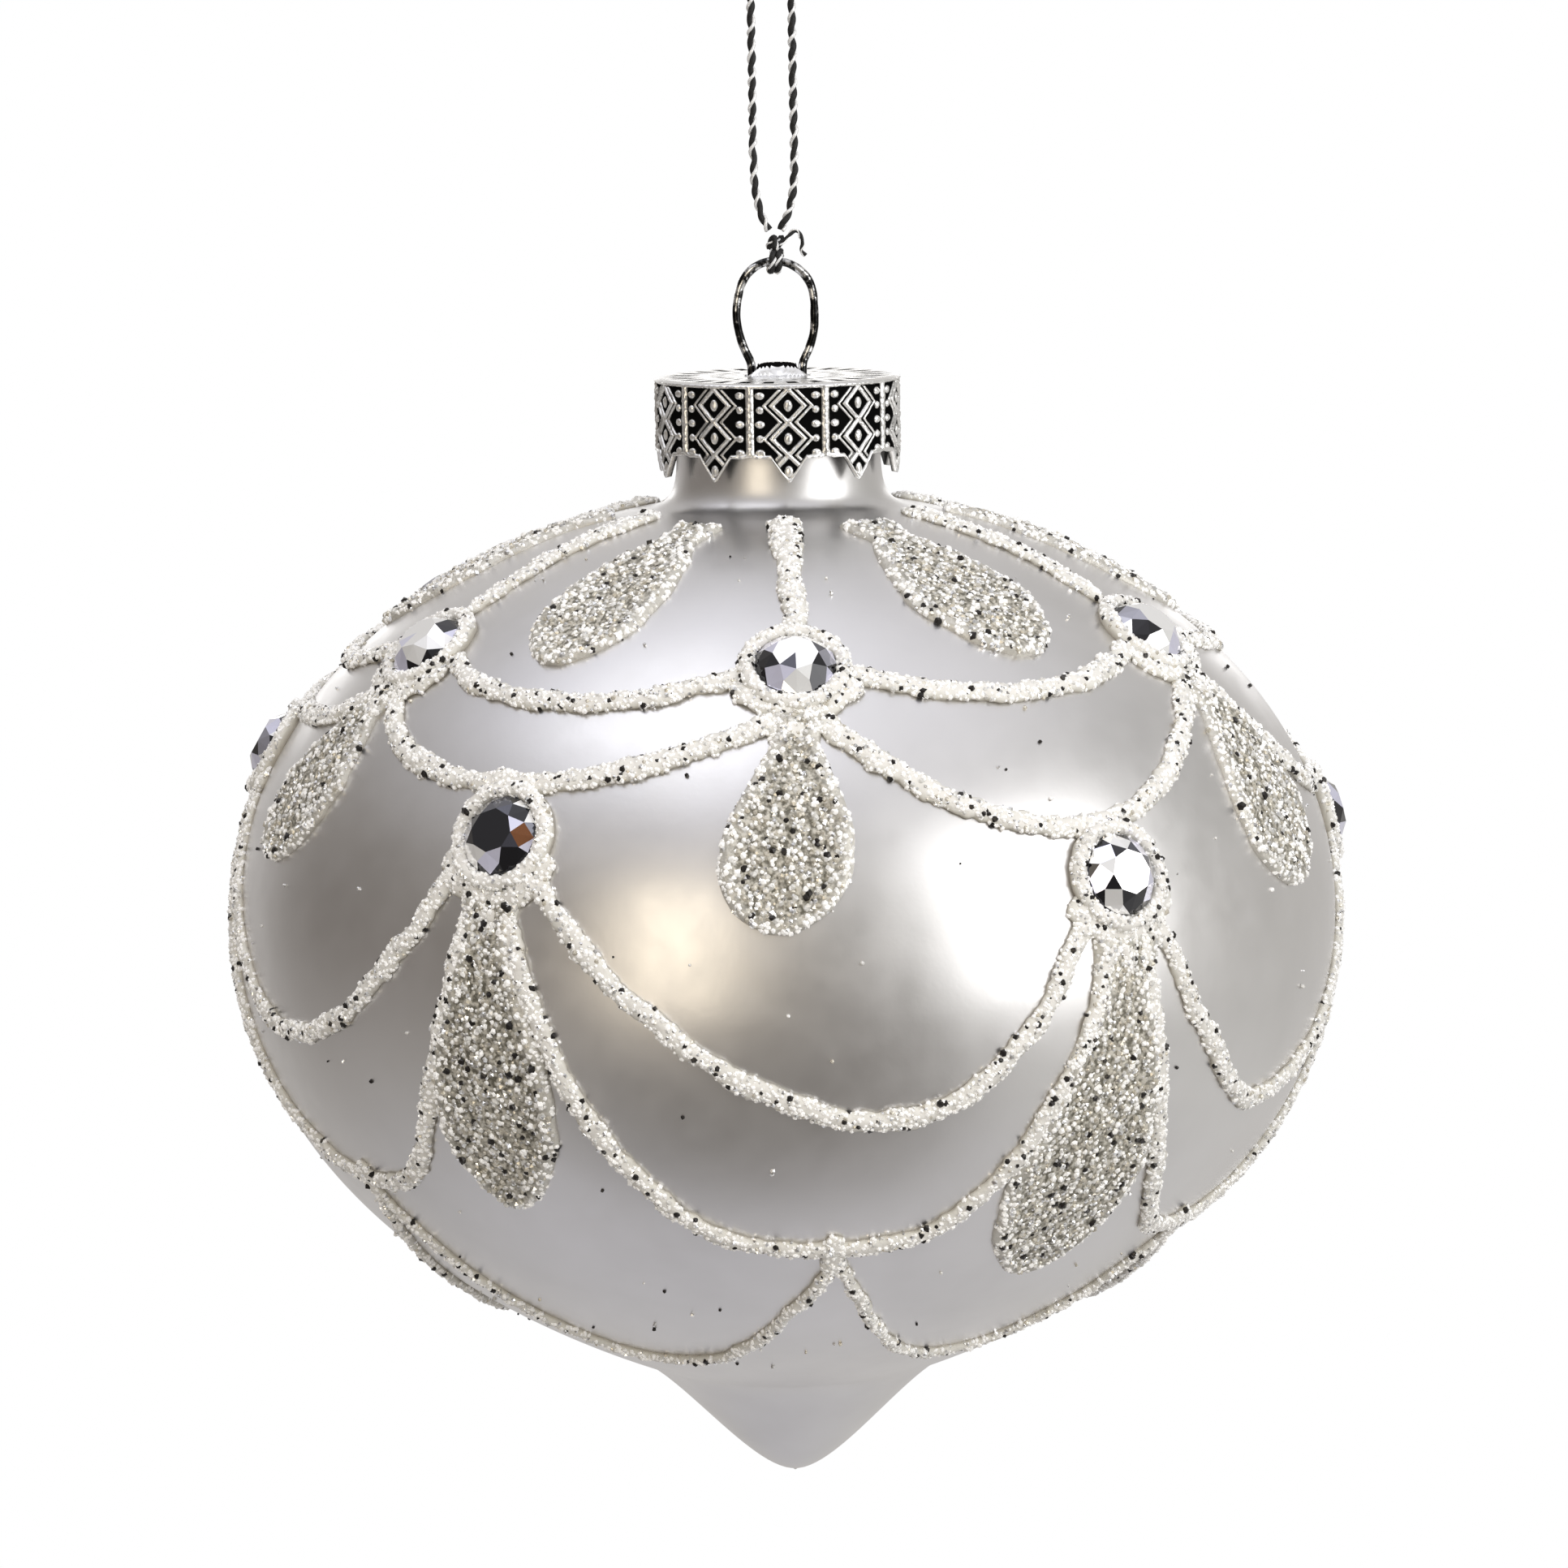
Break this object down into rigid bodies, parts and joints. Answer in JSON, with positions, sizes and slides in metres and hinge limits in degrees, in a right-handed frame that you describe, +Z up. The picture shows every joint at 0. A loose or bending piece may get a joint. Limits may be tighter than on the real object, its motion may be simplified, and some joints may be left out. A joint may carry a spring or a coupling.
{
  "type": "hanging glass ornament",
  "caption": "Onion-shaped hollow glass hanging ornament with a neck, stamped crown cap, wire ring, thread loop, raised glitter garlands and drops, and set crystals.",
  "frame": {"origin": "the inside top of the thread loop, where a hook carries it", "axes": "+Z up along the ornament's axis, -Y to the front, with the wire ring in the XZ plane"},
  "size_m": [0.0818, 0.0804, 0.1107],
  "materials": {
    "lacquered_glass": "blown glass under an opaque satin pearl-silver lacquer",
    "stamped_metal": "thin stamped sheet, bright relief over dark antiqued recesses",
    "ring_wire": "plated spring wire",
    "metallic_thread": "twisted two-ply metallic yarn",
    "glitter_line": "raised glue bead covered in fine white glitter",
    "glitter_fill": "flat glue pad covered in coarse champagne-silver glitter",
    "crystal": "cut flat-back crystal with a foil back"
  },
  "bodies": {
    "thread": {"hanging_thread": "metallic_thread"},
    "knot": {"thread_knot": "metallic_thread"},
    "ring": {"hanger_ring": "ring_wire"},
    "cap": {"crown_cap": "stamped_metal"},
    "bauble": {"glass_body": "lacquered_glass", "shoulder_garland": "glitter_line", "upper_garland": "glitter_line", "middle_garland": "glitter_line", "lower_garland": "glitter_line", "base_garland": "glitter_line", "spoke_1": "glitter_line", "spoke_2": "glitter_line", "spoke_3": "glitter_line", "spoke_4": "glitter_line", "spoke_5": "glitter_line", "spoke_6": "glitter_line", "upper_leaf_1": "glitter_fill", "upper_leaf_2": "glitter_fill", "upper_leaf_3": "glitter_fill", "upper_leaf_4": "glitter_fill", "upper_leaf_5": "glitter_fill", "upper_leaf_6": "glitter_fill", "upper_stone_1": "crystal", "upper_stone_2": "crystal", "upper_stone_3": "crystal", "upper_stone_4": "crystal", "upper_stone_5": "crystal", "upper_stone_6": "crystal", "upper_bezel_1": "glitter_line", "upper_bezel_2": "glitter_line", "upper_bezel_3": "glitter_line", "upper_bezel_4": "glitter_line", "upper_bezel_5": "glitter_line", "upper_bezel_6": "glitter_line", "upper_drop_1": "glitter_fill", "upper_drop_2": "glitter_fill", "upper_drop_3": "glitter_fill", "upper_drop_4": "glitter_fill", "upper_drop_5": "glitter_fill", "upper_drop_6": "glitter_fill", "middle_stone_1": "crystal", "middle_stone_2": "crystal", "middle_stone_3": "crystal", "middle_stone_4": "crystal", "middle_stone_5": "crystal", "middle_stone_6": "crystal", "middle_bezel_1": "glitter_line", "middle_bezel_2": "glitter_line", "middle_bezel_3": "glitter_line", "middle_bezel_4": "glitter_line", "middle_bezel_5": "glitter_line", "middle_bezel_6": "glitter_line", "lower_drop_1": "glitter_fill", "lower_drop_2": "glitter_fill", "lower_drop_3": "glitter_fill", "lower_drop_4": "glitter_fill", "lower_drop_5": "glitter_fill", "lower_drop_6": "glitter_fill"}
  },
  "joints": [
    {"name": "thread_twist", "type": "hinge", "parent": "thread", "child": "knot", "pos_m": [0, 0, -0.0191], "axis": [0, 0, 1], "range_deg": [-90, 90], "stiffness_Nm_per_rad": 0.00001},
    {"name": "ring_swing", "type": "hinge", "parent": "knot", "child": "ring", "pos_m": [0, 0, -0.0211], "axis": [1, 0, 0], "range_deg": [-35, 35]},
    {"name": "ring_tilt", "type": "hinge", "parent": "ring", "child": "cap", "pos_m": [0, 0, -0.02938], "axis": [1, 0, 0], "range_deg": [-8, 8]},
    {"name": "cap_pull_off", "type": "slide", "parent": "cap", "child": "bauble", "axis": [0, 0, -1], "range_m": [0, 0.02]}
  ]
}
